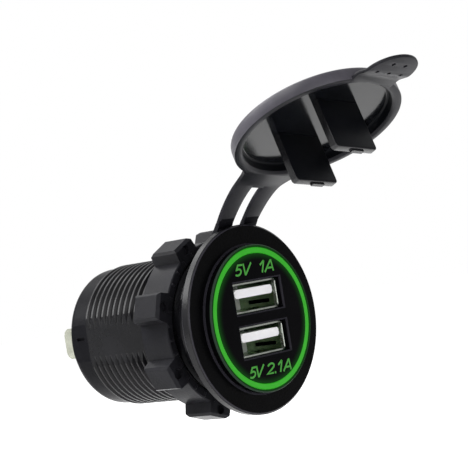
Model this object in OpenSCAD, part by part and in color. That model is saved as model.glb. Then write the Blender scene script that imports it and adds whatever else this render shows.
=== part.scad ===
// Panel socket with two stacked charging ports, a lit ring, a lugged ring nut
// and a rubber cap on two straps. The cap stands open, as at rest.
// Millimetres. The barrel runs along +Y, the face looks along -Y and +Z is up.
// The origin is the centre of the panel hole, in the plane of the panel's front.

/* [Flange and face] */
// Width of the flange beyond the barrel, which covers the panel hole
flange_lip = 4.1; // [3.6:0.1:5.5]
// Thickness of the flange at its rim
flange_thickness = 1.9; // [1.5:0.1:2.6]
// Chamfer on the rim's front edge
rim_chamfer = 0.4; // [0.2:0.05:0.6]
// Radius of the raised disc on the flange
face_radius = 14.35; // [14.2:0.05:14.6]
// Height of the raised disc above the flange
face_height = 1.8; // [1.4:0.1:2.2]
// Width of the raised lip outside the lit ring
ring_lip = 0.6; // [0.4:0.05:0.8]
// Width of the lit ring across its face
ring_width = 1.1; // [0.8:0.05:1.4]
// Thickness of the face plate
plate_thickness = 1.2; // [0.9:0.1:1.4]
// Clearance round the lit ring and the face plate
face_clearance = 0.05; // [0.02:0.01:0.1]

/* [Barrel] */
// Radius over the thread and of the plain neck in the panel hole
barrel_radius = 14.4; // [14.2:0.05:14.8]
// Length of the plain neck behind the flange
neck_length = 4.6; // [3:0.1:6]
// Length of the threaded barrel behind the flange
barrel_length = 31.6; // [28:0.1:38]
// Thread pitch
thread_pitch = 1.55; // [1.25:0.05:2]
// Depth of the thread
thread_depth = 0.55; // [0.3:0.05:0.7]
// Wall of the barrel under the thread
barrel_wall = 1.25; // [1:0.05:1.6]
// Distance from the axis to the flat on each side of the barrel
flat_distance = 13.55; // [13.4:0.05:14]

/* [Rear cover] */
// Length of the rear cover behind the barrel
cover_length = 5.4; // [4:0.1:8]
// Radius of the rear cover
cover_radius = 13.95; // [13.6:0.05:14.2]
// Rounding of the cover's rear edge
cover_round = 1.8; // [1:0.1:2.2]
// Thickness of the cover's end wall
cover_wall = 1.8; // [1.4:0.1:2.4]
// Length of the spigot that goes into the barrel
spigot_length = 3; // [2:0.1:4]

/* [Ports] */
// Height between the centres of the two ports
port_spacing = 8.44; // [8.3:0.02:8.8]
// Height of the middle of the two ports above the axis
port_rise = 0.17; // [0:0.01:0.3]
// Inner width of a port
port_width = 12.5; // [12.3:0.05:12.6]
// Inner height of a port
port_height = 5.12; // [5:0.02:5.2]
// Wall of a port's steel shell
shell_wall = 0.3; // [0.2:0.05:0.35]
// Gap between a shell and its window at the sides
window_side_gap = 0.3; // [0.1:0.05:0.4]
// Gap between a shell and its window above and below
window_top_gap = 0.15; // [0.05:0.05:0.2]
// How far a shell's mouth lies behind the face
shell_recess = 1.2; // [0.8:0.1:1.6]
// Depth of a port from its mouth to its back
port_depth = 9.7; // [9.2:0.1:10.5]
// Distance from a port's mouth to its tongue's tip
tongue_setback = 0.1; // [0.1:0.05:1]
// Width of a tongue
tongue_width = 11; // [10.5:0.1:11.3]
// Thickness of a tongue
tongue_thickness = 1.7; // [1.5:0.05:1.84]
// Height of a tongue's underside above the port's centre
tongue_rise = 0.03; // [0:0.01:0.1]
// Length of the slot in each side of a shell
slot_length = 5.6; // [4:0.1:6]
// Height of the slot in each side of a shell
slot_height = 0.75; // [0.5:0.05:1]
// Distance from a port's mouth to the middle of its side slots
slot_reach = 4.7; // [4:0.1:5.2]
// Length of the insulator block behind the port
core_length = 2.5; // [2:0.1:3.5]

/* [Ring nut] */
// Distance from the flange to the nut's front at rest
nut_front = 6.2; // [5:0.1:8]
// Length of the ring nut
nut_length = 7.8; // [7:0.1:9]
// Wall of the nut's body
nut_wall = 1.82; // [1.5:0.02:2.4]
// Height of a lug above the nut's body
lug_height = 2.3; // [1.8:0.1:3]
// Width of a lug
lug_width = 5.3; // [4.6:0.1:6]
// Length of a lug
lug_length = 6.9; // [6:0.1:7]
// Depth of the round pocket in a lug's front
pocket_depth = 0.9; // [0.5:0.1:2]
// Number of lugs
lug_count = 8; // [6:1:10]
// Turn of the first lug from the top
lug_turn = 17.7; // [0:0.1:44]
// Number of locking ribs on the nut's front
rib_count = 36; // [24:1:48]
// Height of a locking rib
rib_height = 0.3; // [0.2:0.05:0.4]
// Running clearance between the nut's bore and the thread
nut_clearance = 0.08; // [0.04:0.01:0.1]

/* [Cap] */
// Wall of the lid's rim
lid_wall = 1.82; // [1.5:0.02:2.2]
// Clearance between the lid's bore and the raised disc
lid_clearance = 0.3; // [0.25:0.05:0.4]
// Height of the lid at its edge
lid_height = 2.6; // [2.5:0.1:3]
// Rise of the lid's crown above its edge
lid_crown = 1.5; // [1:0.1:2.2]
// Gap between the closed lid and the face in front of it
lid_gap = 0.35; // [0.3:0.05:0.5]
// Gap between the closed lid's rim and the flange
rim_gap = 0.1; // [0.05:0.05:0.2]
// Radius of the pull tab
tab_radius = 5.6; // [5:0.1:6.2]
// Distance from the lid's edge to the tab's centre
tab_reach = 2.8; // [2.4:0.1:3.6]
// Thickness of the pull tab
tab_thickness = 0.9; // [0.7:0.1:1.4]
// Droop of the pull tab in degrees
tab_droop = 15; // [0:1:18]
// Thickness of a plug blade
blade_thickness = 1.5; // [1.2:0.1:1.7]
// Width of a plug blade
blade_width = 10.9; // [10:0.1:11.6]
// Length of a plug blade from the lid's rim
blade_length = 8.2; // [7:0.1:9]
// Height of the upper blade's inner face above the lid's centre
blade_up = 4.75; // [4.4:0.05:5]
// Depth of the lower blade's outer face below the lid's centre
blade_down = 6.5; // [6.3:0.05:6.8]
// Thickness of the retaining ring behind the flange
band_thickness = 1.5; // [1.2:0.1:2]
// Clearance between the retaining ring and its groove
band_clearance = 0.03; // [0.02:0.01:0.1]
// Depth of the groove that holds the retaining ring
groove_depth = 0.2; // [0.1:0.05:0.4]
// Width of the retaining ring beyond the barrel
band_lip = 2.8; // [2.2:0.1:3.2]
// Thickness of the straps
strap_thickness = 1.2; // [0.9:0.1:1.5]
// Half the width over both straps at the flange
strap_outer = 5.4; // [5:0.1:6]
// Half the width of the slot between the straps
strap_inner = 2; // [1.6:0.1:2.4]
// Half the width of the web at the lid
web_half = 5.9; // [5.5:0.1:6.3]
// Distance from the lid's edge to the web's end
web_length = 1.53; // [1.2:0.01:2]
// Length that sets how far the straps run straight on from the flange
strap_lead = 2.77; // [2:0.01:4]
// Length that sets how far the straps run straight on from the lid
strap_tail = 3.4; // [2.5:0.1:4.5]
// Depth of the hinge in front of the flange's back
hinge_depth = 2.66; // [2:0.01:3.2]
// Height of the hinge above the flange's rim
hinge_rise = 5.48; // [4.5:0.01:6.5]

/* [Terminals] */
// Width of a blade terminal
terminal_width = 6.3; // [4.8:0.1:6.3]
// Thickness of a blade terminal
terminal_thickness = 0.8; // [0.5:0.1:0.8]
// Length of a blade terminal behind the cover
terminal_length = 8; // [6:0.1:9]
// Distance from the axis to a terminal's middle
terminal_offset = 7.2; // [6:0.1:8]
// Clearance round a terminal in the cover
terminal_clearance = 0.08; // [0.05:0.01:0.15]

/* [Inside] */
// Gap between the board behind the lit ring and the ports' corners
led_board_gap = 0.2; // [0.1:0.05:0.5]
// Thickness of the boards
board_thickness = 1.6; // [1:0.1:1.6]
// Clearance between the port board and the barrel
board_clearance = 0.25; // [0.15:0.05:0.3]
// Clearance between the power board and the cover's spigot
power_clearance = 1; // [0.3:0.1:2]
// Diameter of the inductor
inductor_diameter = 7.3; // [6:0.1:7.8]
// Height of the inductor
inductor_height = 4.5; // [3:0.1:5]
// Diameter of the capacitors
capacitor_diameter = 6.3; // [5:0.1:6.6]
// Height of the capacitors
capacitor_height = 5.4; // [4.5:0.1:5.8]
// Distance from the middle to the large components
component_offset = 4.4; // [4.2:0.1:4.6]
// Distance from the port board to the large components
component_reach = 6; // [5:0.1:6.5]
// Width of the pin strip between the boards
link_width = 10; // [6:0.5:14]
// Height and depth of the pin strip
link_height = 2.5; // [2:0.1:3]
// Distance from the barrel's end to the front of a terminal's foot
foot_inset = 5.6; // [5:0.1:6]
// Length of a terminal's foot on the power board
foot_length = 4; // [3:0.1:4.2]

/* [Hidden] */
$fn = 96;

e = 0.01;
flange_radius = barrel_radius + flange_lip;
ring_outer = face_radius - ring_lip;
band_radius = barrel_radius + band_lip;
// Depths along Y of the face's layers.
face_y = -flange_thickness - face_height;
shelf_y = -0.3;
led_board_t = 0.8;
led_h = 0.65;
led_board_y = shelf_y - led_board_t;
ring_back = led_board_y - led_h - face_clearance;
ring_inner = ring_outer - ring_width;
plate_r = ring_inner - face_clearance;
bore_front = ring_outer + face_clearance;
bore_r = barrel_radius - thread_depth - barrel_wall;
turns = floor((barrel_length - neck_length - 0.3) / thread_pitch);
thread_start = barrel_length - turns * thread_pitch;
groove_radius = barrel_radius - groove_depth;
// Layers along Y from the ports to the rear.
mouth_y = face_y + shell_recess;
port_back = mouth_y + port_depth;
core_back = port_back + core_length;
board_back = core_back + board_thickness;
cover_back = barrel_length + cover_length;
spigot_out = bore_r - 0.05;
spigot_in = spigot_out - 1.05;
foot_y = barrel_length - foot_inset;
power_half = spigot_in - power_clearance;
port_z = [port_rise + port_spacing / 2, port_rise - port_spacing / 2];
window_w = port_width + 2 * shell_wall + 2 * window_side_gap;
window_h = port_height + 2 * shell_wall + 2 * window_top_gap;
// The board behind the lit ring clears the windows' corners.
led_board_r = norm([window_w / 2, port_z[0] + window_h / 2]) + led_board_gap;
bevel = 0.2;
// The nut.
nut_bore = barrel_radius + nut_clearance;
nut_radius = nut_bore + nut_wall;
lug_radius = nut_radius + lug_height;
// The closed lid: its rim's plane, inner radius, floor and edge.
rim_y = -flange_thickness - rim_gap;
lid_bore = face_radius + lid_clearance;
lid_radius = lid_bore + lid_wall;
web_reach = lid_radius + web_length;
tab_centre = lid_radius + tab_reach;
floor_y = face_y - lid_gap;
edge_y = rim_y - lid_height;
blade_z = [blade_up, -blade_down];
// The hinge: the pole that the cap turns about, and the slight skew of soft
// rubber when it hangs open.
pole = [0, -hinge_depth, flange_radius + hinge_rise];
open_angle = 114;
skew_y = 4.5;
skew_z = 2.6;
axis = unit([-cos(skew_y) * cos(skew_z), sin(skew_y), sin(skew_z)]);
// The straps' path at rest, from the band behind the flange to the lid.
root_mid = [0, -strap_thickness / 2 - 0.02, flange_radius + strap_thickness / 2];
root_dir = unit([0, -1.68, 2.2]);
strap_end = opened([0, rim_y - strap_thickness / 2, web_reach]);
strap_out = openedv([0, 0, -1]);
web_axis = openedv([1, 0, 0]);
path_b = root_mid + strap_lead * root_dir;
path_c = strap_end - strap_tail * strap_out;
slot_end = 0.88;

function unit(v) = v / norm(v);
// Turns v by the open angle about the skewed axis.
function openedv(v) = v * cos(open_angle) + cross(axis, v) * sin(open_angle)
    + axis * (axis * v) * (1 - cos(open_angle));
function opened(p) = pole + openedv(p - pole);
function mix(a, b, t) = a + (b - a) * t;
function bez(t) = pow(1 - t, 3) * root_mid + 3 * pow(1 - t, 2) * t * path_b
    + 3 * (1 - t) * t * t * path_c + pow(t, 3) * strap_end;
function slope(t) = unit(pow(1 - t, 2) * (path_b - root_mid)
    + 2 * (1 - t) * t * (path_c - path_b) + t * t * (strap_end - path_c));

// The modules measure y from the back of the flange. The rubber ring between the
// flange and the panel sets the origin back by its thickness.
module placed() {
    translate([0, -band_thickness, 0]) children();
}

// Stands a profile drawn in X and Z up and runs it back from y0.
module along(y0, length) {
    translate([0, y0, 0]) rotate([90, 0, 0]) mirror([0, 0, 1])
        linear_extrude(length) children();
}

// Turns a profile of [radius, y] points about the barrel's axis.
module turned(points) {
    rotate([-90, 0, 0]) rotate_extrude() polygon(points);
}

module disc(r, y0, length) {
    translate([0, y0, 0]) rotate([-90, 0, 0]) cylinder(r = r, h = length);
}

// Puts what is drawn for the closed cap where the open cap stands.
module open_cap() {
    translate(pole) rotate(a = open_angle, v = axis) translate(-pole) children();
}

// A rectangle with cut corners, centred.
module cut_box(w, h, c) {
    polygon([[-w / 2 + c, -h / 2], [w / 2 - c, -h / 2], [w / 2, -h / 2 + c],
             [w / 2, h / 2 - c], [w / 2 - c, h / 2], [-w / 2 + c, h / 2],
             [-w / 2, h / 2 - c], [-w / 2, -h / 2 + c]]);
}

// Both sides' flats, from y0 back.
module flats(distance, y0, length) {
    for (s = [-1, 1])
        translate([s * (distance + barrel_radius / 2), y0 + length / 2, 0])
            cube([barrel_radius, length, 3 * barrel_radius], center = true);
}

module housing() color("#1b1b1d") {
    p = thread_pitch;
    root = barrel_radius - thread_depth;
    ridges = [for (i = [0 : turns - 1]) let (y = thread_start + i * p) each
        [[root, y], [root, y + 0.26 * p], [barrel_radius, y + 0.5 * p],
         [barrel_radius, y + 0.76 * p]]];
    difference() {
        turned(concat(
            [[bore_r, shelf_y], [bore_front, shelf_y], [bore_front, face_y],
             [face_radius - 0.15, face_y], [face_radius, face_y + 0.15],
             [face_radius, -flange_thickness],
             [flange_radius - rim_chamfer, -flange_thickness],
             [flange_radius, -flange_thickness + rim_chamfer],
             [flange_radius, -0.2], [flange_radius - 0.2, 0],
             [groove_radius, 0], [groove_radius, band_thickness],
             [barrel_radius, band_thickness], [barrel_radius, neck_length],
             [root, neck_length + thread_depth]],
            ridges,
            [[root, barrel_length], [bore_r, barrel_length]]));
        flats(flat_distance, neck_length, barrel_length);
    }
}

module rear_cover() color("#232326") {
    difference() {
        turned(concat(
            [[spigot_in, barrel_length - spigot_length],
             [spigot_out, barrel_length - spigot_length],
             [spigot_out, barrel_length], [cover_radius, barrel_length]],
            [for (a = [0 : 18 : 90])
                [cover_radius - cover_round * (1 - cos(a)),
                 cover_back - cover_round * (1 - sin(a))]],
            [[0, cover_back], [0, cover_back - cover_wall],
             [spigot_in, cover_back - cover_wall]]));
        flats(flat_distance - 0.1, barrel_length, cover_length + 1);
        for (s = [-1, 1])
            translate([s * terminal_offset, cover_back, 0])
                cube([terminal_thickness + 2 * terminal_clearance,
                      3 * cover_wall,
                      terminal_width + 2 * terminal_clearance], center = true);
        // Short latch slits on the flats.
        for (s = [-1, 1])
            translate([s * flat_distance, barrel_length + 2.1, 0.9])
                cube([1, 2.2, 0.6], center = true);
    }
}

module face_plate() color("#101012") {
    back = face_y + plate_thickness;
    difference() {
        union() {
            disc(plate_r, face_y, plate_thickness);
            turned([[plate_r - 1, back - e], [plate_r, back - e],
                    [plate_r, led_board_y], [plate_r - 1, led_board_y]]);
        }
        for (z = port_z) {
            translate([0, 0, z]) along(face_y - 1, led_board_y - face_y + 2)
                cut_box(window_w, window_h, 0.25);
            translate([0, face_y, z]) window_bevel();
        }
    }
}

// The bevel round a window, as a shallow frustum.
module window_bevel() {
    w = window_w / 2;
    h = window_h / 2;
    o = [for (k = [0, 1]) let (g = (k == 0 ? 2 : 0) * bevel, y = (k == 0 ? -bevel : bevel))
        each [[-w - g, y, -h - g], [w + g, y, -h - g], [w + g, y, h + g],
              [-w - g, y, h + g]]];
    polyhedron(o, [[3, 2, 1, 0], [4, 5, 6, 7], [0, 1, 5, 4], [1, 2, 6, 5],
                   [2, 3, 7, 6], [3, 0, 4, 7]]);
}

module light_ring() color("#35c926") {
    front = face_y + 0.05;
    turned([[ring_inner, front + 0.1], [ring_inner + 0.1, front],
            [ring_outer - 0.1, front], [ring_outer, front + 0.1],
            [ring_outer, ring_back], [ring_inner, ring_back]]);
}

module led_board() color("#1f5a33") {
    turned([[led_board_r, led_board_y], [bore_front - face_clearance, led_board_y],
            [bore_front - face_clearance, shelf_y], [led_board_r, shelf_y]]);
}

module leds() color("#e8e6c8") {
    mid = (ring_inner + ring_outer) / 2;
    for (k = [0 : 7])
        rotate([0, 22.5 + 45 * k, 0])
            translate([0, led_board_y - led_h / 2, mid])
                cube([1.6, led_h, 0.8], center = true);
}

// A steel shell with a slot in each side and springs cut above and below.
module usb_shell(z) color("#b9bcc0") {
    w = port_width + 2 * shell_wall;
    h = port_height + 2 * shell_wall;
    translate([0, 0, z]) difference() {
        along(mouth_y, port_depth + core_length) cut_box(w, h, 0.35);
        along(mouth_y - 1, port_depth + core_length + 2)
            cut_box(port_width, port_height, 0.15);
        translate([0, mouth_y + slot_reach, -1.35])
            cube([2 * w, slot_length, slot_height], center = true);
        for (s = [-1, 1])
            for (x = [-3.2, 3.2])
                translate([x, mouth_y + 4.6, s * h / 2])
                    cube([1.7, 4, 1.5], center = true);
    }
}

module usb_tongue(z) color("#f2f2ee") translate([0, 0, z]) {
    c = 0.05;
    difference() {
        union() {
            translate([0, 0, tongue_rise + tongue_thickness / 2])
                along(mouth_y + tongue_setback, port_depth - tongue_setback + e)
                    cut_box(tongue_width, tongue_thickness, 0.4);
            along(port_back, core_length)
                cut_box(port_width - 2 * c, port_height - 2 * c, 0.2);
        }
        // Channels for the four contacts.
        for (x = contact_x)
            translate([x, mouth_y + 1 + port_depth / 2, tongue_rise])
                cube([1.1, port_depth - 1.6, 0.6], center = true);
    }
}

contact_x = [-3.5, -1, 1, 3.5];

module usb_contacts(z) color("#d3a63c") translate([0, 0, z])
    for (x = contact_x)
        translate([x, mouth_y + 1 + port_depth / 2, tongue_rise + 0.15])
            cube([1, port_depth - 1.8, 0.2], center = true);

module usb_shell_upper() usb_shell(port_z[0]);
module usb_shell_lower() usb_shell(port_z[1]);
module usb_tongue_upper() usb_tongue(port_z[0]);
module usb_tongue_lower() usb_tongue(port_z[1]);
module usb_contacts_upper() usb_contacts(port_z[0]);
module usb_contacts_lower() usb_contacts(port_z[1]);

module port_board() color("#1f5a33")
    difference() {
        disc(bore_r - board_clearance, core_back, board_thickness);
        for (s = [-1, 1])
            translate([s * (bore_r - 1.6), core_back, 0])
                rotate([-90, 0, 0]) cylinder(r = 0.8, h = 4 * board_thickness,
                                             center = true, $fn = 32);
    }

module power_board() color("#1f5a33")
    translate([-power_half, board_back, -board_thickness / 2])
        cube([2 * power_half, foot_y + foot_length - board_back,
              board_thickness]);

// The pin strip that joins the two boards.
module board_link() color("#2b2b2b")
    difference() {
        translate([-link_width / 2, board_back, -board_thickness / 2 - link_height])
            cube([link_width, link_height, link_height]);
        for (k = [-1, 0, 1])
            translate([k * link_width / 3.8, board_back + link_height / 2,
                       -board_thickness / 2 - link_height])
                cube([link_width / 5, link_height / 2, link_height / 2],
                     center = true);
    }

mid_y = board_back + component_reach;
module inductor() color("#3a3a3c") {
    top = board_thickness / 2;
    translate([-component_offset, mid_y, top]) {
        cylinder(d = inductor_diameter, h = 0.9);
        cylinder(d = inductor_diameter - 1.6, h = inductor_height);
        translate([0, 0, inductor_height - 0.9])
            cylinder(d = inductor_diameter, h = 0.9);
    }
}

module can() {
    b = 0.7;
    cylinder(d = capacitor_diameter + 0.2, h = b);
    cylinder(d = capacitor_diameter, h = capacitor_height);
}

module input_capacitor() color("#2f4f8f")
    translate([component_offset, mid_y, board_thickness / 2]) can();

module output_capacitor() color("#2f4f8f")
    translate([-component_offset, mid_y, -board_thickness / 2]) mirror([0, 0, 1]) can();

module regulator_chip() color("#161616")
    translate([-2.2, mid_y + 4.9, board_thickness / 2]) cube([4.4, 3.6, 1.5]);

// A 6.3 mm blade with a foot on the power board and a tapered, drilled tip.
module terminal(x) color("#cfd2cf") {
    w = terminal_width / 2;
    top = board_thickness / 2;
    y1 = foot_y + foot_length;
    tip = cover_back + terminal_length;
    translate([x - terminal_thickness / 2, 0, 0]) difference() {
        rotate([90, 0, 90]) linear_extrude(terminal_thickness)
            polygon([[foot_y, top], [y1, top], [y1, -w], [tip - 1.2, -w],
                     [tip - 0.4, -w + 0.5], [tip, -w + 1.3], [tip, w - 1.3],
                     [tip - 0.4, w - 0.5], [tip - 1.2, w], [foot_y, w]]);
        translate([terminal_thickness / 2, tip - 3.2, 0]) rotate([0, 90, 0])
            cylinder(d = 1.7, h = 3 * terminal_thickness, center = true, $fn = 32);
    }
}

module terminal_positive() terminal(terminal_offset);
module terminal_negative() terminal(-terminal_offset);

module ring_nut() color("#242427") {
    back = nut_front + nut_length;
    r = nut_radius;
    difference() {
        union() {
            turned([[nut_bore, nut_front + 0.3], [nut_bore + 0.3, nut_front],
                    [r - 0.2, nut_front], [r, nut_front + 0.2],
                    [r, back - 0.8], [r - 0.8, back], [nut_bore + 0.4, back],
                    [nut_bore, back - 0.4]]);
            for (k = [0 : lug_count - 1])
                rotate([0, lug_turn + k * 360 / lug_count, 0]) lug();
        }
        // A round pocket in each lug's front.
        for (k = [0 : lug_count - 1])
            rotate([0, lug_turn + k * 360 / lug_count, 0])
                translate([0, nut_front, (nut_radius + lug_radius) / 2 - 0.35])
                    rotate([-90, 0, 0]) cylinder(r = 1, h = 2 * pocket_depth,
                                                 center = true, $fn = 32);
    }
    // Locking ribs on the front face.
    for (k = [0 : rib_count - 1])
        rotate([0, 5 + k * 360 / rib_count, 0])
            translate([0, nut_front + e, nut_bore + 0.55])
                linear_extrude(nut_radius - nut_bore - 0.85)
                    polygon([[-0.35, 0], [0.35, 0], [0, -rib_height - e]]);
}

// One grip lug: a block with all its outer edges cut.
module lug() {
    inner = nut_radius - 0.5;
    difference() {
        along(nut_front, lug_length)
            polygon([[-lug_width / 2 - 0.25, inner], [lug_width / 2 + 0.25, inner],
                     [lug_width / 2, lug_radius - 0.5],
                     [lug_width / 2 - 0.5, lug_radius],
                     [-lug_width / 2 + 0.5, lug_radius],
                     [-lug_width / 2, lug_radius - 0.5]]);
        // Cut the outer face's front and rear edges.
        for (y = [nut_front, nut_front + lug_length])
            translate([0, y, lug_radius]) rotate([45, 0, 0])
                cube([lug_width + 2, 0.8, 0.8], center = true);
    }
}

module cap_ring() color("#202022") {
    turned([[groove_radius + band_clearance, 0], [band_radius, 0],
            [band_radius, band_thickness - 0.3],
            [band_radius - 0.3, band_thickness],
            [barrel_radius + 0.1, band_thickness],
            [groove_radius + band_clearance, band_thickness - 0.3]]);
    n = strap_thickness / 2 * [0, root_dir[2], -root_dir[1]];
    rear = root_mid + n;
    front = root_mid - n;
    // The straps' roots, which wrap the flange's rim.
    difference() {
        for (s = [-1, 1])
            translate([s > 0 ? strap_inner : -strap_outer, 0, 0])
                rotate([90, 0, 90]) linear_extrude(strap_outer - strap_inner)
                    polygon([[0, band_radius - 1.8],
                             [band_thickness, band_radius - 1.8],
                             [band_thickness, flange_radius - 1],
                             [band_thickness - 0.4, flange_radius],
                             [rear[1], rear[2]], [front[1], front[2]],
                             [front[1], band_radius], [0, band_radius]]);
        disc(flange_radius + 0.03, -flange_thickness - 2, flange_thickness + 2);
    }
}

// A band along the path from t0 to t1, between two edges that run from near0 and
// far0 to near1 and far1 across it.
module skin(t0, t1, steps, near0, near1, far0, far1, thickness) {
    sections = [for (i = [0 : steps]) let (
        k = i / steps, t = mix(t0, t1, k), c = bez(t), d = slope(t),
        u0 = mix([1, 0, 0], web_axis, t), u = unit(u0 - d * (u0 * d)),
        n = cross(u, d) * thickness / 2,
        x0 = mix(near0, near1, k), x1 = mix(far0, far1, k))
        each [c + x0 * u - n, c + x1 * u - n, c + x1 * u + n, c + x0 * u + n]];
    last = 4 * steps;
    polyhedron(sections, concat([[3, 2, 1, 0]],
        [for (i = [0 : steps - 1], j = [0 : 3]) let (a = 4 * i + j,
            b = 4 * i + (j + 1) % 4) each [[a, b, a + 4], [b, b + 4, a + 4]]],
        [[last, last + 1, last + 2, last + 3]]));
}

module cap_straps() color("#202022")
    difference() {
        skin(0, 1, 14, -strap_outer, -web_half, strap_outer, web_half,
             strap_thickness);
        // The slot that parts the two straps.
        skin(-0.05, slot_end, 14, -strap_inner, -strap_inner, strap_inner,
             strap_inner, 2 * strap_thickness);
    }

module cap_lid() color("#202022") open_cap() {
    crown = [for (i = [0 : 6]) let (k = i / 6, r = (lid_radius - 0.5) * (1 - k))
        [r, edge_y - lid_crown * (1 - pow(r / (lid_radius - 0.5), 2))]];
    turned(concat(
        [[0, floor_y], [lid_bore - 0.4, floor_y], [lid_bore, floor_y + 0.4],
         [lid_bore, rim_y - 0.15], [lid_bore + 0.15, rim_y],
         [lid_radius - 0.15, rim_y], [lid_radius, rim_y - 0.15],
         [lid_radius - 0.1, edge_y + 0.6]], crown));
    // The web that the straps run into.
    translate([0, rim_y - strap_thickness, 0]) rotate([90, 0, 0])
        mirror([0, 0, 1]) linear_extrude(strap_thickness) difference() {
            translate([-web_half, lid_bore + 0.3])
                square([2 * web_half, web_reach - lid_bore - 0.3]);
            circle(r = lid_bore + 0.5);
        }
    // The pull tab, which droops past the flange's rim towards the panel.
    fold = max(flange_radius + 0.15, lid_radius + 1.2);
    t = tab_thickness;
    difference() {
        union() {
            along(rim_y - t, t) difference() {
                polygon([[-tab_radius - 1.1, -lid_radius + 0.3],
                         [-tab_radius - 0.2, -lid_radius - 0.7],
                         [-tab_radius, -fold], [tab_radius, -fold],
                         [tab_radius + 0.2, -lid_radius - 0.7],
                         [tab_radius + 1.1, -lid_radius + 0.3]]);
                circle(r = lid_bore + 0.5);
            }
            translate([0, rim_y, -fold]) rotate([tab_droop, 0, 0])
                translate([0, -t, fold]) along(0, t) difference() {
                    union() {
                        translate([0, -tab_centre]) circle(r = tab_radius);
                        translate([-tab_radius, -tab_centre])
                            square([2 * tab_radius, tab_centre - fold + 1]);
                    }
                    translate([-2 * tab_radius, -fold + t / 4])
                        square([4 * tab_radius, 2 * tab_radius]);
                }
        }
        // Five grip dimples.
        translate([0, rim_y, -fold]) rotate([tab_droop, 0, 0])
            translate([0, 0, fold])
                for (p = [[-3.1, 0], [0, 0], [3.1, 0], [-1.55, 2.7], [1.55, 2.7]])
                    translate([p[0], 0, -tab_centre - p[1]]) rotate([90, 0, 0])
                        cylinder(r = 0.45, h = 0.7, center = true, $fn = 24);
    }
}

module cap_plugs() color("#202022") open_cap()
    for (z = blade_z)
        translate([0, 0, z]) linear_extrude(blade_thickness) {
            w = blade_width / 2;
            tip = rim_y + blade_length;
            polygon([[-w - 0.4, floor_y], [w + 0.4, floor_y], [w, floor_y + 1],
                     [w, tip - 0.9], [w - 0.3, tip - 0.3], [w - 0.9, tip],
                     [-w + 0.9, tip], [-w + 0.3, tip - 0.3], [-w, tip - 0.9],
                     [-w, floor_y + 1]]);
        }

placed() housing();
placed() rear_cover();
placed() face_plate();
placed() light_ring();
placed() led_board();
placed() leds();
placed() usb_shell_upper();
placed() usb_shell_lower();
placed() usb_tongue_upper();
placed() usb_tongue_lower();
placed() usb_contacts_upper();
placed() usb_contacts_lower();
placed() port_board();
placed() power_board();
placed() board_link();
placed() inductor();
placed() input_capacitor();
placed() output_capacitor();
placed() regulator_chip();
placed() terminal_positive();
placed() terminal_negative();
placed() ring_nut();
placed() cap_ring();
placed() cap_straps();
placed() cap_lid();
placed() cap_plugs();
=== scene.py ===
"""Looks of a panel socket with two charging ports, a lit ring, a lugged nut and a rubber cap.

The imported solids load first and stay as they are. The rubber cap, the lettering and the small
springs in the ports are made here.
"""

import logging
import math
from dataclasses import dataclass, field
from enum import Enum
from typing import Sequence

import bmesh
import bpy
from mathutils import Matrix, Vector


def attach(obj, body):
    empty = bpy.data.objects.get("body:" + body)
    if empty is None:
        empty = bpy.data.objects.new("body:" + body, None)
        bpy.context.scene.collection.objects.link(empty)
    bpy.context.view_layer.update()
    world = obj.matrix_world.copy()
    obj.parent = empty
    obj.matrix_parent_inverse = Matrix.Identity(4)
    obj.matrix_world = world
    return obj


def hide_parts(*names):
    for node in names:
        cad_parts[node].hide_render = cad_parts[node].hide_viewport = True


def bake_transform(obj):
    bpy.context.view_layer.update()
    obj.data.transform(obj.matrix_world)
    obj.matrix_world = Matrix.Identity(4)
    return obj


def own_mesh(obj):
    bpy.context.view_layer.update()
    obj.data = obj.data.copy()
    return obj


log = logging.getLogger("socket")
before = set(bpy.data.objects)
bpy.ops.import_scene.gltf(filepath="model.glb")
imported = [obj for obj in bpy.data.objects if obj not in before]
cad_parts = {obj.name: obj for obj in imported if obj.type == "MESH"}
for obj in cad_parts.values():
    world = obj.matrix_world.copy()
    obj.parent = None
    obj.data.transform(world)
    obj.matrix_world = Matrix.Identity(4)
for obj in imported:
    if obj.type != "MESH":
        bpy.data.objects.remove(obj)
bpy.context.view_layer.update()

MM = 0.001
SEAT = 1.5
Point2 = tuple[float, float]
Color = tuple[float, float, float]


class Body(Enum):
    """The rigid bodies that pieces ride on."""

    SOCKET = "socket"
    CAP = "cap"
    NUT = "nut"


class Skin(Enum):
    """Kinds of surface that a finish can have."""

    MOULDED = "moulded"
    LIT = "lit"
    METAL = "metal"
    FACE = "face"


def row(x: float, y: float, z: float) -> Vector:
    """Give the row-frame point of drawing millimetres x, y, z."""
    return Vector((x, y - SEAT, z)) * MM


# ---------------------------------------------------------------- finishes


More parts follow.
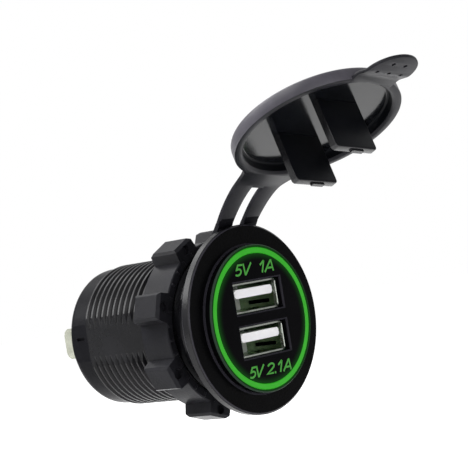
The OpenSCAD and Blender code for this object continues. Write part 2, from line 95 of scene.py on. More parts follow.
class Graph:
    """Adds and links nodes in one node tree."""

    def __init__(self, tree: bpy.types.NodeTree) -> None:
        """Hold the tree and empty it.

        Args:
            tree: The tree to fill.
        """
        self.tree = tree
        tree.nodes.clear()

    def add(self, kind: str, inputs: dict | None = None, **settings) -> bpy.types.Node:
        """Add a node, set it up and feed it.

        Args:
            kind: The node's type name.
            inputs: Values or output sockets by input name or number.
            **settings: The node's own properties.

        Returns:
            The new node.
        """
        node = self.tree.nodes.new(kind)
        for name, value in settings.items():
            setattr(node, name, value)
        for name, value in (inputs or {}).items():
            socket = node.inputs[name]
            if isinstance(value, bpy.types.NodeSocket):
                self.tree.links.new(value, socket)
            elif isinstance(value, tuple) and len(value) == 3 and socket.type == "RGBA":
                socket.default_value = (*value, 1.0)
            else:
                socket.default_value = value
        return node

    def math(self, operation: str, *values, clamp: bool = False):
        """Add a math node and give its output.

        Args:
            operation: The math node's operation.
            *values: Its one to three operands.
            clamp: Whether the result is held between 0 and 1.

        Returns:
            The output socket.
        """
        node = self.add("ShaderNodeMath", dict(enumerate(values)), operation=operation)
        node.use_clamp = clamp
        return node.outputs[0]

    def ramp(self, value, low: float, high: float, to_low: float = 0.0, to_high: float = 1.0):
        """Map a value smoothly from one span to another.

        Args:
            value: The socket to map.
            low: Start of the input span.
            high: End of the input span.
            to_low: Result at the start.
            to_high: Result at the end.

        Returns:
            The output socket.
        """
        node = self.add(
            "ShaderNodeMapRange",
            {"Value": value, "From Min": low, "From Max": high, "To Min": to_low, "To Max": to_high},
            interpolation_type="SMOOTHSTEP",
        )
        return node.outputs["Result"]


class Groups:
    """Shader node groups shared by the finishes."""

    @staticmethod
    def _new(name: str, inputs: Sequence[tuple], outputs: Sequence[tuple]) -> tuple:
        """Start a group with its sockets.

        Args:
            name: The group's name.
            inputs: Name, socket type and default of each input.
            outputs: Name and socket type of each output.

        Returns:
            The group, its graph, its input node and its output node.
        """
        group = bpy.data.node_groups.new(name, "ShaderNodeTree")
        for label, kind, default in inputs:
            socket = group.interface.new_socket(label, in_out="INPUT", socket_type=kind)
            socket.default_value = default
        for label, kind in outputs:
            group.interface.new_socket(label, in_out="OUTPUT", socket_type=kind)
        graph = Graph(group)
        return group, graph, graph.add("NodeGroupInput"), graph.add("NodeGroupOutput")

    @classmethod
    def moulded_skin(cls) -> bpy.types.NodeTree:
        """Build the group for moulded plastic and rubber: grain, mottling and dust.

        Returns:
            The group.
        """
        name = "moulded_skin"
        if name in bpy.data.node_groups:
            return bpy.data.node_groups[name]
        group, g, src, out = cls._new(
            name,
            [
                ("Shade", "NodeSocketColor", (0.02, 0.02, 0.02, 1)),
                ("Dusty Shade", "NodeSocketColor", (0.05, 0.05, 0.05, 1)),
                ("Mottle", "NodeSocketFloat", 0.4),
                ("Roughness", "NodeSocketFloat", 0.5),
                ("Spread", "NodeSocketFloat", 0.1),
                ("Grain Scale", "NodeSocketFloat", 3000.0),
                ("Dust", "NodeSocketFloat", 0.2),
            ],
            [
                ("Color", "NodeSocketColor"),
                ("Roughness", "NodeSocketFloat"),
                ("Height", "NodeSocketFloat"),
            ],
        )
        place = g.add("ShaderNodeTexCoord").outputs["Object"]
        fine = g.add("ShaderNodeTexNoise", {"Vector": place, "Scale": src.outputs["Grain Scale"], "Detail": 3.0})
        broad = g.add("ShaderNodeTexNoise", {"Vector": place, "Scale": 140.0, "Detail": 4.0, "Roughness": 0.6})
        specks = g.add("ShaderNodeTexNoise", {"Vector": place, "Scale": 5200.0, "Detail": 1.0})
        speck = g.ramp(specks.outputs["Fac"], 0.70, 0.80)
        speck = g.math("MULTIPLY", speck, src.outputs["Dust"])
        blend = g.math("MULTIPLY", g.ramp(broad.outputs["Fac"], 0.35, 0.72), src.outputs["Mottle"])
        color = g.add(
            "ShaderNodeMix",
            {0: g.math("ADD", blend, speck, clamp=True), 6: src.outputs["Shade"], 7: src.outputs["Dusty Shade"]},
            data_type="RGBA",
        )
        sway = g.math("SUBTRACT", broad.outputs["Fac"], 0.5)
        sway = g.math("MULTIPLY", sway, src.outputs["Spread"])
        rough = g.math("ADD", src.outputs["Roughness"], g.math("MULTIPLY", sway, 2.0), clamp=True)
        g.tree.links.new(color.outputs[2], out.inputs["Color"])
        g.tree.links.new(rough, out.inputs["Roughness"])
        g.tree.links.new(fine.outputs["Fac"], out.inputs["Height"])
        return group

    @classmethod
    def ring_glow(cls) -> bpy.types.NodeTree:
        """Build the group for green light that spills from the lit ring onto the face.

        Returns:
            The group, whose Glow is strongest beside the ring's edges.
        """
        name = "ring_glow"
        if name in bpy.data.node_groups:
            return bpy.data.node_groups[name]
        group, g, src, out = cls._new(
            name,
            [
                ("Tint", "NodeSocketColor", (0.02, 0.3, 0.02, 1)),
                ("Radius", "NodeSocketFloat", 0.0132),
                ("Reach", "NodeSocketFloat", 0.0022),
                ("Strength", "NodeSocketFloat", 0.1),
            ],
            [("Color", "NodeSocketColor")],
        )
        place = g.add("ShaderNodeTexCoord").outputs["Object"]
        xyz = g.add("ShaderNodeSeparateXYZ", {0: place})
        x2 = g.math("MULTIPLY", xyz.outputs["X"], xyz.outputs["X"])
        z2 = g.math("MULTIPLY", xyz.outputs["Z"], xyz.outputs["Z"])
        radius = g.math("SQRT", g.math("ADD", x2, z2))
        off = g.math("ABSOLUTE", g.math("SUBTRACT", radius, src.outputs["Radius"]))
        near = g.math("SUBTRACT", 1.0, g.math("DIVIDE", off, src.outputs["Reach"]), clamp=True)
        fall = g.math("MULTIPLY", near, near)
        front = g.math("LESS_THAN", xyz.outputs["Y"], (-3.3 - SEAT) * MM)
        power = g.math("MULTIPLY", g.math("MULTIPLY", fall, front), src.outputs["Strength"])
        glow = g.add(
            "ShaderNodeVectorMath", {0: src.outputs["Tint"], "Scale": power}, operation="SCALE"
        )
        g.tree.links.new(glow.outputs[0], out.inputs["Color"])
        return group

    @classmethod
    def worn_edges(cls) -> bpy.types.NodeTree:
        """Build the group that paints highlights on the edges of the flange, the raised disc and the windows.

        Returns:
            The group.
        """
        name = "worn_edges"
        if name in bpy.data.node_groups:
            return bpy.data.node_groups[name]
        group, g, src, out = cls._new(
            name,
            [("Color", "NodeSocketColor", (0.02, 0.02, 0.02, 1)), ("Edge Highlight", "NodeSocketColor", (0.03, 0.03, 0.03, 1))],
            [("Color", "NodeSocketColor")],
        )
        place = g.add("ShaderNodeTexCoord").outputs["Object"]
        xyz = g.add("ShaderNodeSeparateXYZ", {0: place}).outputs

        def between(value: bpy.types.NodeSocket, low: float, high: float) -> bpy.types.NodeSocket:
            """Give 1 where the value lies between two lengths in millimetres."""
            above = g.math("GREATER_THAN", value, low * MM)
            return g.math("MULTIPLY", above, g.math("LESS_THAN", value, high * MM))

        squares = [g.math("MULTIPLY", xyz[axis], xyz[axis]) for axis in ("X", "Z")]
        radius = g.math("SQRT", g.math("ADD", *squares))
        # Painted highlight bands: the raised disc's front rim, the flange's rim, the disc's foot and the windows'
        # frames.
        mask = g.math("MULTIPLY", between(radius, 14.12, 14.45), between(xyz["Y"], -9.0, -3.3 - SEAT))
        rim = g.math("MULTIPLY", between(radius, 18.15, 18.42), between(xyz["Y"], -9.0, -1.62 - SEAT))
        foot = g.math("MULTIPLY", between(radius, 14.1, 14.72), between(xyz["Y"], -2.2 - SEAT, -1.8 - SEAT))
        mask = g.math("MAXIMUM", g.math("MAXIMUM", mask, foot), rim)
        for centre in (4.39, -4.05):
            across = g.math("SUBTRACT", g.math("ABSOLUTE", xyz["X"]), 6.85 * MM)
            height = g.math("ABSOLUTE", g.math("SUBTRACT", xyz["Z"], centre * MM))
            height = g.math("SUBTRACT", height, 3.01 * MM)
            frame_mask = between(g.math("MAXIMUM", across, height), -0.05, 0.28)
            frame_mask = g.math("MULTIPLY", frame_mask, between(xyz["Y"], -9.0, -3.3 - SEAT))
            mask = g.math("MAXIMUM", mask, frame_mask)
        mixed = g.add("ShaderNodeMix", {0: mask, 6: src.outputs["Color"], 7: src.outputs["Edge Highlight"]}, data_type="RGBA")
        g.tree.links.new(mixed.outputs[2], out.inputs["Color"])
        return group

    @classmethod
    def front_shade(cls) -> bpy.types.NodeTree:
        """Build the group that paints shade on the polished faces in front of the flange's edge by darkening their
        colour.

        Returns:
            The group.
        """
        name = "front_shade"
        if name in bpy.data.node_groups:
            return bpy.data.node_groups[name]
        group, g, src, out = cls._new(
            name,
            [
                ("Color", "NodeSocketColor", (0.02, 0.02, 0.02, 1)),
                ("Front Painted Shade", "NodeSocketFloat", 0.3),
                ("Coat", "NodeSocketFloat", 0.0),
            ],
            [("Color", "NodeSocketColor"), ("Coat", "NodeSocketFloat")],
        )
        place = g.add("ShaderNodeTexCoord").outputs["Object"]
        depth = g.add("ShaderNodeSeparateXYZ", {0: place}).outputs["Y"]
        # Painted shade: faces in front of the flange's plane keep only a share of their colour; faces behind it get the
        # coat.
        behind = g.ramp(depth, (-1.87 - SEAT) * MM, (-1.7 - SEAT) * MM)
        keep = g.math("ADD", src.outputs["Front Painted Shade"], g.math("MULTIPLY", behind, g.math("SUBTRACT", 1.0, src.outputs["Front Painted Shade"])))
        shade = g.add("ShaderNodeVectorMath", {0: src.outputs["Color"], "Scale": keep}, operation="SCALE")
        g.tree.links.new(shade.outputs[0], out.inputs["Color"])
        g.tree.links.new(g.math("MULTIPLY", behind, src.outputs["Coat"]), out.inputs["Coat"])
        return group

    @classmethod
    def brushed_skin(cls) -> bpy.types.NodeTree:
        """Build the group for rolled or plated metal: streaks along Y, tarnish, a painted shade with a green cast deep
        inside the ports and a painted shade on the lips at their mouths.

        Returns:
            The group.
        """
        name = "brushed_skin"
        if name in bpy.data.node_groups:
            return bpy.data.node_groups[name]
        group, g, src, out = cls._new(
            name,
            [
                ("Shade", "NodeSocketColor", (0.6, 0.6, 0.6, 1)),
                ("Tarnish", "NodeSocketColor", (0.4, 0.4, 0.36, 1)),
                ("Deep Painted Shade", "NodeSocketColor", (1, 1, 1, 1)),
                ("Lip Painted Shade", "NodeSocketFloat", 0.6),
                ("Roughness", "NodeSocketFloat", 0.3),
            ],
            [
                ("Color", "NodeSocketColor"),
                ("Roughness", "NodeSocketFloat"),
                ("Height", "NodeSocketFloat"),
            ],
        )
        place = g.add("ShaderNodeTexCoord").outputs["Object"]
        long = g.add("ShaderNodeMapping", {"Vector": place, "Scale": (1.0, 0.06, 1.0)})
        streak = g.add("ShaderNodeTexNoise", {"Vector": long.outputs[0], "Scale": 6000.0, "Detail": 2.0})
        cloud = g.add("ShaderNodeTexNoise", {"Vector": place, "Scale": 420.0, "Detail": 3.0})
        color = g.add(
            "ShaderNodeMix",
            {0: g.ramp(cloud.outputs["Fac"], 0.45, 0.75), 6: src.outputs["Shade"], 7: src.outputs["Tarnish"]},
            data_type="RGBA",
        )
        rough = g.math("ADD", src.outputs["Roughness"], g.math("MULTIPLY", streak.outputs["Fac"], 0.12), clamp=True)
        xyz = g.add("ShaderNodeSeparateXYZ", {0: place}).outputs
        depth = xyz["Y"]
        # Painted shade with a green cast: the metal deeper inside the ports is multiplied by the deep colour.
        painted_deep_shade = g.add("ShaderNodeMix", {0: g.ramp(depth, (-1.95 - SEAT) * MM, (-1.7 - SEAT) * MM),
                                       6: (1.0, 1.0, 1.0), 7: src.outputs["Deep Painted Shade"]}, data_type="RGBA")
        color = g.add("ShaderNodeMix", {0: 1.0, 6: color.outputs[2], 7: painted_deep_shade.outputs[2]},
                      data_type="RGBA", blend_type="MULTIPLY")
        # Painted shade on the shells' front lips: near black is mixed in by the lip share.
        lip_painted_shade = g.math("MULTIPLY", g.math("LESS_THAN", g.math("ABSOLUTE", xyz["X"]), 6.2 * MM),
                         g.math("LESS_THAN", depth, (-2.47 - SEAT) * MM))
        color = g.add("ShaderNodeMix", {0: g.math("MULTIPLY", lip_painted_shade, src.outputs["Lip Painted Shade"]), 6: color.outputs[2],
                                        7: (0.03, 0.032, 0.028)}, data_type="RGBA")
        g.tree.links.new(color.outputs[2], out.inputs["Color"])
        g.tree.links.new(rough, out.inputs["Roughness"])
        g.tree.links.new(streak.outputs["Fac"], out.inputs["Height"])
        return group


@dataclass(frozen=True)
class Finish:
    """One surface finish, with the values that its shared groups take."""

    name: str
    skin: Skin
    shade: Color
    dusty: Color
    roughness: float
    specular: float = 0.3
    mottle: float = 0.4
    spread: float = 0.1
    grain: float = 3000.0
    bump: float = 0.00002
    dust: float = 0.15
    glow: Color = (0.0, 0.0, 0.0)
    glow_strength: float = 0.0
    # Share of colour kept in front of the flange's plane, a painted shade; 1 paints none.
    front: float = 1.0
    coat: float = 0.0
    # Colour multiplied into metal deep inside the ports: painted shade with a green cast.
    deep_painted_shade: Color = (1.0, 1.0, 1.0)

    def material(self) -> bpy.types.Material:
        """Build the finish's material, or give the one already made."""
        found = bpy.data.materials.get(self.name)
        if found:
            return found
        made = bpy.data.materials.new(self.name)
        made.use_nodes = True
        g = Graph(made.node_tree)
        shader = g.add("ShaderNodeBsdfPrincipled")
        output = g.add("ShaderNodeOutputMaterial")
        g.tree.links.new(shader.outputs[0], output.inputs["Surface"])
        shader.inputs["Specular IOR Level"].default_value = self.specular
        if self.skin is Skin.METAL:
            skin = g.add("ShaderNodeGroup", node_tree=Groups.brushed_skin())
            skin.inputs["Tarnish"].default_value = (*self.dusty, 1)
            skin.inputs["Deep Painted Shade"].default_value = (*self.deep_painted_shade, 1)
            shader.inputs["Metallic"].default_value = 1.0
        else:
            skin = g.add("ShaderNodeGroup", node_tree=Groups.moulded_skin())
            skin.inputs["Dusty Shade"].default_value = (*self.dusty, 1)
            skin.inputs["Mottle"].default_value = self.mottle
            skin.inputs["Spread"].default_value = self.spread
            skin.inputs["Grain Scale"].default_value = self.grain
            skin.inputs["Dust"].default_value = self.dust
        skin.inputs["Shade"].default_value = (*self.shade, 1)
        skin.inputs["Roughness"].default_value = self.roughness
        color = skin.outputs["Color"]
        # Painted shade on the faces in front of the flange's plane.
        if self.front < 1.0:
            painted_shade = g.add("ShaderNodeGroup", node_tree=Groups.front_shade())
            painted_shade.inputs["Front Painted Shade"].default_value = self.front
            painted_shade.inputs["Coat"].default_value = self.coat
            g.tree.links.new(color, painted_shade.inputs["Color"])
            g.tree.links.new(painted_shade.outputs["Coat"], shader.inputs["Coat Weight"])
            shader.inputs["Coat Roughness"].default_value = self.roughness
            color = painted_shade.outputs["Color"]
        if self.skin is Skin.FACE:
            # Painted highlight on the edges of the front.
            edge_highlight = g.add("ShaderNodeGroup", node_tree=Groups.worn_edges())
            edge_highlight.inputs["Edge Highlight"].default_value = (0.020, 0.019, 0.024, 1)
            g.tree.links.new(color, edge_highlight.inputs["Color"])
            color = edge_highlight.outputs["Color"]
        g.tree.links.new(color, shader.inputs["Base Color"])
        g.tree.links.new(skin.outputs["Roughness"], shader.inputs["Roughness"])
        bump = g.add("ShaderNodeBump", {"Height": skin.outputs["Height"], "Strength": 1.0, "Distance": self.bump})
        g.tree.links.new(bump.outputs[0], shader.inputs["Normal"])
        if self.skin is Skin.LIT:
            shader.inputs["Emission Color"].default_value = (*self.glow, 1)
            shader.inputs["Emission Strength"].default_value = self.glow_strength
        elif self.skin is Skin.FACE:
            spill = g.add("ShaderNodeGroup", node_tree=Groups.ring_glow())
            spill.inputs["Tint"].default_value = (*self.glow, 1)
            spill.inputs["Strength"].default_value = self.glow_strength
            g.tree.links.new(spill.outputs["Color"], shader.inputs["Emission Color"])
            shader.inputs["Emission Strength"].default_value = 1.0
        return made


# The housing's front faces get painted shade and keep a quarter of their colour.
BARREL = Finish("housing_satin_black", Skin.FACE, (0.004, 0.004, 0.0047), (0.011, 0.011, 0.0135), 0.27,
                specular=0.02, grain=2600, bump=0.00003, glow=(0.03, 0.36, 0.03), glow_strength=0.25,
                front=0.25, coat=0.24)
COVER = Finish("cover_satin_black", Skin.MOULDED, (0.006, 0.006, 0.0072), (0.013, 0.013, 0.0155), 0.30,
               specular=0.018, grain=2400)
NUT = Finish("nut_satin_black", Skin.MOULDED, (0.008, 0.008, 0.0095), (0.018, 0.018, 0.022), 0.34,
             specular=0.045, grain=2200, bump=0.00004, dust=0.5)
FACE = Finish("face_gloss_black", Skin.FACE, (0.0014, 0.0013, 0.0018), (0.0024, 0.0023, 0.003), 0.22,
              specular=0.015, bump=0.00001, dust=0.05, glow=(0.03, 0.36, 0.03), glow_strength=0.25)
RUBBER = Finish("cap_soft_rubber", Skin.MOULDED, (0.010, 0.010, 0.012), (0.022, 0.0215, 0.026), 0.32,
                specular=0.055, mottle=0.6, grain=3600, bump=0.00001, dust=0.3)
# Painted light: a lighter, glossier copy of the cap rubber for the lid's outer side and back.
RUBBER_BACK = Finish("cap_back_painted_light", Skin.MOULDED, (0.036, 0.034, 0.042), (0.070, 0.066, 0.080), 0.40,
                     specular=0.20, mottle=0.6, grain=3600, bump=0.00001, dust=0.3)
# Painted shadow where the flange's edge shades the straps' roots.
ROOT_SHADOW = Finish("strap_root_painted_shadow", Skin.MOULDED, (0.0035, 0.0034, 0.0045), (0.006, 0.006, 0.0075), 0.50,
              specular=0.01, mottle=0.4, grain=3600, bump=0.00001, dust=0.1)
# Painted shade: the lid's inner wall and floor are darker copies of the cap rubber.
RECESS = Finish("cap_recess_painted_shade", Skin.MOULDED, (0.003, 0.0034, 0.0045), (0.006, 0.0065, 0.008), 0.38,
                specular=0.04, mottle=0.4, grain=3600, bump=0.00002, dust=0.1)
FLOOR = Finish("cap_polished_floor_painted_shade", Skin.MOULDED, (0.003, 0.0034, 0.0045), (0.006, 0.0065, 0.008), 0.13,
               specular=0.20, mottle=0.4, spread=0.04, grain=3600, bump=0.000004, dust=0.1)
# Painted shade: a darker copy of the cap rubber for the blades, which face away from the lamps.
PLUG = Finish("plug_rubber_painted_shade", Skin.MOULDED, (0.0035, 0.0038, 0.005), (0.007, 0.0075, 0.009), 0.34,
              specular=0.04, mottle=0.4, grain=3600, bump=0.00002, dust=0.1)
# Painted highlight: a lighter copy of the plug rubber for the blades' tips and the sides facing -x.
PLUG_HIGHLIGHT = Finish("plug_edge_painted_highlight", Skin.MOULDED, (0.006, 0.006, 0.007), (0.014, 0.014, 0.016), 0.26,
                   specular=0.30, mottle=0.5, grain=3600, bump=0.00002, dust=0.1)
LENS = Finish("light_ring_lens", Skin.LIT, (0.02, 0.10, 0.012), (0.03, 0.14, 0.02), 0.30,
              specular=0.1, bump=0.00001, glow=(0.012, 0.27, 0.006), glow_strength=1.0)
# Printed green ink that also emits light: painted glow.
SIGNS = Finish("rating_green_ink_painted_glow", Skin.LIT, (0.02, 0.08, 0.015), (0.03, 0.10, 0.02), 0.45,
               specular=0.1, bump=0.00001, glow=(0.035, 0.20, 0.025), glow_strength=1.0)
STEEL = Finish("shell_rolled_steel", Skin.METAL, (0.54, 0.57, 0.52), (0.36, 0.40, 0.34), 0.22, bump=0.00001,
               deep_painted_shade=(0.42, 0.58, 0.37))
TONGUE = Finish("port_white_insulator", Skin.MOULDED, (0.80, 0.79, 0.81), (0.72, 0.72, 0.72), 0.42,
                specular=0.4, bump=0.00001, dust=0.1)
GOLD = Finish("contact_gold_plate", Skin.METAL, (0.78, 0.52, 0.16), (0.6, 0.4, 0.14), 0.22, bump=0.00001)
TIN = Finish("terminal_bright_tin", Skin.METAL, (0.40, 0.41, 0.345), (0.33, 0.34, 0.28), 0.25, bump=0.00001)
BOARD = Finish("board_green_mask", Skin.MOULDED, (0.01, 0.09, 0.03), (0.02, 0.12, 0.05), 0.35)
CHIP = Finish("chip_black_epoxy", Skin.MOULDED, (0.012, 0.012, 0.012), (0.03, 0.03, 0.03), 0.55)
FERRITE = Finish("inductor_ferrite", Skin.MOULDED, (0.03, 0.03, 0.032), (0.06, 0.06, 0.06), 0.6)
SLEEVE = Finish("capacitor_blue_sleeve", Skin.MOULDED, (0.02, 0.05, 0.18), (0.03, 0.07, 0.22), 0.3)
LEDS = Finish("led_pale_body", Skin.LIT, (0.7, 0.7, 0.5), (0.6, 0.6, 0.4), 0.4,
              glow=(0.1, 0.8, 0.1), glow_strength=1.0)

NODE_FINISH: dict[str, Finish] = {
    "housing": BARREL, "rear_cover": COVER, "face_plate": FACE, "light_ring": LENS,
    "led_board": BOARD, "leds": LEDS, "usb_shell_upper": STEEL, "usb_shell_lower": STEEL,
    "usb_tongue_upper": TONGUE, "usb_tongue_lower": TONGUE, "usb_contacts_upper": GOLD,
    "usb_contacts_lower": GOLD, "port_board": BOARD, "power_board": BOARD,
    "board_link": CHIP, "inductor": FERRITE, "input_capacitor": SLEEVE,
    "output_capacitor": SLEEVE, "regulator_chip": CHIP, "terminal_positive": TIN,
    "terminal_negative": TIN, "ring_nut": NUT,
}


# ---------------------------------------------------------------- meshes


class Mesher:
    """Builds one piece from operators, in drawing millimetres."""

    def __init__(self) -> None:
        """Start with an empty mesh."""
        self.bm = bmesh.new()

    def slab(self, points: Sequence[Point2], y0: float, y1: float, edge: float = 0.0) -> list[bmesh.types.BMVert]:
        """Extrude an outline from y0 to y1 and soften its edges.

        Args:
            points: The outline's corners in x and z.
            y0: Where it starts.
            y1: Where it ends.
            edge: Rounding of the edges at both ends.

        Returns:
            The slab's vertices.
        """
        before = set(self.bm.verts)
        face = self.bm.faces.new([self.bm.verts.new((x, y0, z)) for x, z in points])
        grown = bmesh.ops.extrude_face_region(self.bm, geom=[face], use_keep_orig=True)
        top = [g for g in grown["geom"] if isinstance(g, bmesh.types.BMVert)]
        bmesh.ops.translate(self.bm, verts=top, vec=(0, y1 - y0, 0))
        new = [v for v in self.bm.verts if v not in before]
        bmesh.ops.recalc_face_normals(self.bm, faces=list({f for v in new for f in v.link_faces}))
        if edge > 0:
            rims = list({e for v in new for e in v.link_edges if abs(e.verts[0].co.y - e.verts[1].co.y) < 1e-6})
            bmesh.ops.bevel(
                self.bm, geom=rims, offset=edge, segments=3, profile=0.5, affect="EDGES",
                clamp_overlap=True, material=-1,
            )
        return [v for v in self.bm.verts if v not in before]

    def lathe(self, profile: Sequence[Point2], steps: int = 144) -> list[bmesh.types.BMVert]:
        """Spin a closed profile of radius and y about the barrel's axis.

        Args:
            profile: Its corners, in order.
            steps: Steps in the full turn.

        Returns:
            The new vertices.
        """
        before = set(self.bm.verts)
        verts = [self.bm.verts.new((0, y, r)) for r, y in profile]
        closed = profile[0][0] > 1e-6 or profile[-1][0] > 1e-6
        count = len(verts) if closed else len(verts) - 1
        edges = [self.bm.edges.new((verts[i], verts[(i + 1) % len(verts)])) for i in range(count)]
        bmesh.ops.spin(
            self.bm, geom=verts + edges, cent=(0, 0, 0), axis=(0, 1, 0), angle=2 * math.pi,
            steps=steps, use_merge=True, use_duplicate=False,
        )
        new = [v for v in self.bm.verts if v not in before]
        bmesh.ops.remove_doubles(self.bm, verts=new, dist=1e-4)
        new = [v for v in self.bm.verts if v not in before]
        faces = list({f for v in new for f in v.link_faces})
        bmesh.ops.recalc_face_normals(self.bm, faces=faces)
        return new

    def strip(self, ends: Sequence[tuple[Vector, Vector]]) -> list[bmesh.types.BMVert]:
        """Sweep one edge through a list of places, which makes a strip.

        Args:
            ends: The edge's two ends at each place.

        Returns:
            The strip's vertices.
        """
        pair = [self.bm.verts.new(end) for end in ends[0]]
        edge = self.bm.edges.new(pair)
        new = list(pair)
        for places in ends[1:]:
            made = bmesh.ops.extrude_edge_only(self.bm, edges=[edge])["geom"]
            grown = [g for g in made if isinstance(g, bmesh.types.BMVert)]
            pair = sorted(grown, key=lambda v: (v.co - pair[0].co).length)
            pair[0].co, pair[1].co = places
            edge = self.bm.edges.get(pair)
            new += pair
        return new

    def thicken(self, verts: Sequence[bmesh.types.BMVert], depth: Vector) -> list[bmesh.types.BMVert]:
        """Give open faces a thickness by extruding them.

        Args:
            verts: The faces' vertices.
            depth: How far and which way.

        Returns:
            All vertices of the closed shape.
        """
        faces = list({f for v in verts for f in v.link_faces})
        grown = bmesh.ops.extrude_face_region(self.bm, geom=faces, use_keep_orig=True)["geom"]
        top = [g for g in grown if isinstance(g, bmesh.types.BMVert)]
        bmesh.ops.translate(self.bm, verts=top, vec=depth)
        new = list(verts) + top
        bmesh.ops.recalc_face_normals(self.bm, faces=list({f for v in new for f in v.link_faces}))
        return new

    def cut(self, cutter: "Mesher") -> None:
        """Cut another mesh's shape out of this one.

        Args:
            cutter: What is taken away. It is used up.
        """
        pair = []
        for label, m in (("blank", self), ("cutter", cutter)):
            mesh = bpy.data.meshes.new(label)
            m.bm.to_mesh(mesh)
            m.bm.free()
            pair.append(bpy.data.objects.new(label, mesh))
            bpy.context.scene.collection.objects.link(pair[-1])
        blank, tool = pair
        change = blank.modifiers.new("cut", "BOOLEAN")
        change.operation = "DIFFERENCE"
        change.solver = "EXACT"
        change.object = tool
        graph = bpy.context.evaluated_depsgraph_get()
        result = bpy.data.meshes.new_from_object(blank.evaluated_get(graph))
        self.bm = bmesh.new()
        self.bm.from_mesh(result)
        for thing in pair:
            mesh = thing.data
            bpy.data.objects.remove(thing)
            bpy.data.meshes.remove(mesh)
        bpy.data.meshes.remove(result)

    def take(self, other: "Mesher") -> list[bmesh.types.BMVert]:
        """Add another mesh to this one.

        Args:
            other: The mesh to add. It is used up.

        Returns:
            The added vertices.
        """
        mesh = bpy.data.meshes.new("part")
        other.bm.to_mesh(mesh)
        other.bm.free()
        before = set(self.bm.verts)
        self.bm.from_mesh(mesh)
        bpy.data.meshes.remove(mesh)
        return [v for v in self.bm.verts if v not in before]

    def finish(self, name: str, finish: Finish, slot: str, smooth: float = 35.0,
               others: Sequence[Finish] = ()) -> bpy.types.Object:
        """Turn the mesh into a finished piece in the row frame.

        Args:
            name: The piece's name.
            finish: What its surface looks like.
            slot: Not used.
            smooth: Edges sharper than this many degrees stay sharp.
            others: The finishes of faces whose material index is 1, 2 and so on.

        Returns:
            The piece.
        """
        bmesh.ops.translate(self.bm, verts=self.bm.verts, vec=(0, -SEAT, 0))
        bmesh.ops.scale(self.bm, verts=self.bm.verts, vec=(MM, MM, MM))
        mesh = bpy.data.meshes.new(name)
        self.bm.to_mesh(mesh)
        self.bm.free()
        mesh.shade_smooth()
        mesh.set_sharp_from_angle(angle=math.radians(smooth))
        for each in (finish, *others):
            mesh.materials.append(each.material())
        piece = bpy.data.objects.new(name, mesh)
        bpy.context.scene.collection.objects.link(piece)
        log.info("%s: %d faces", name, len(mesh.polygons))
        return piece


# ---------------------------------------------------------------- the rubber cap


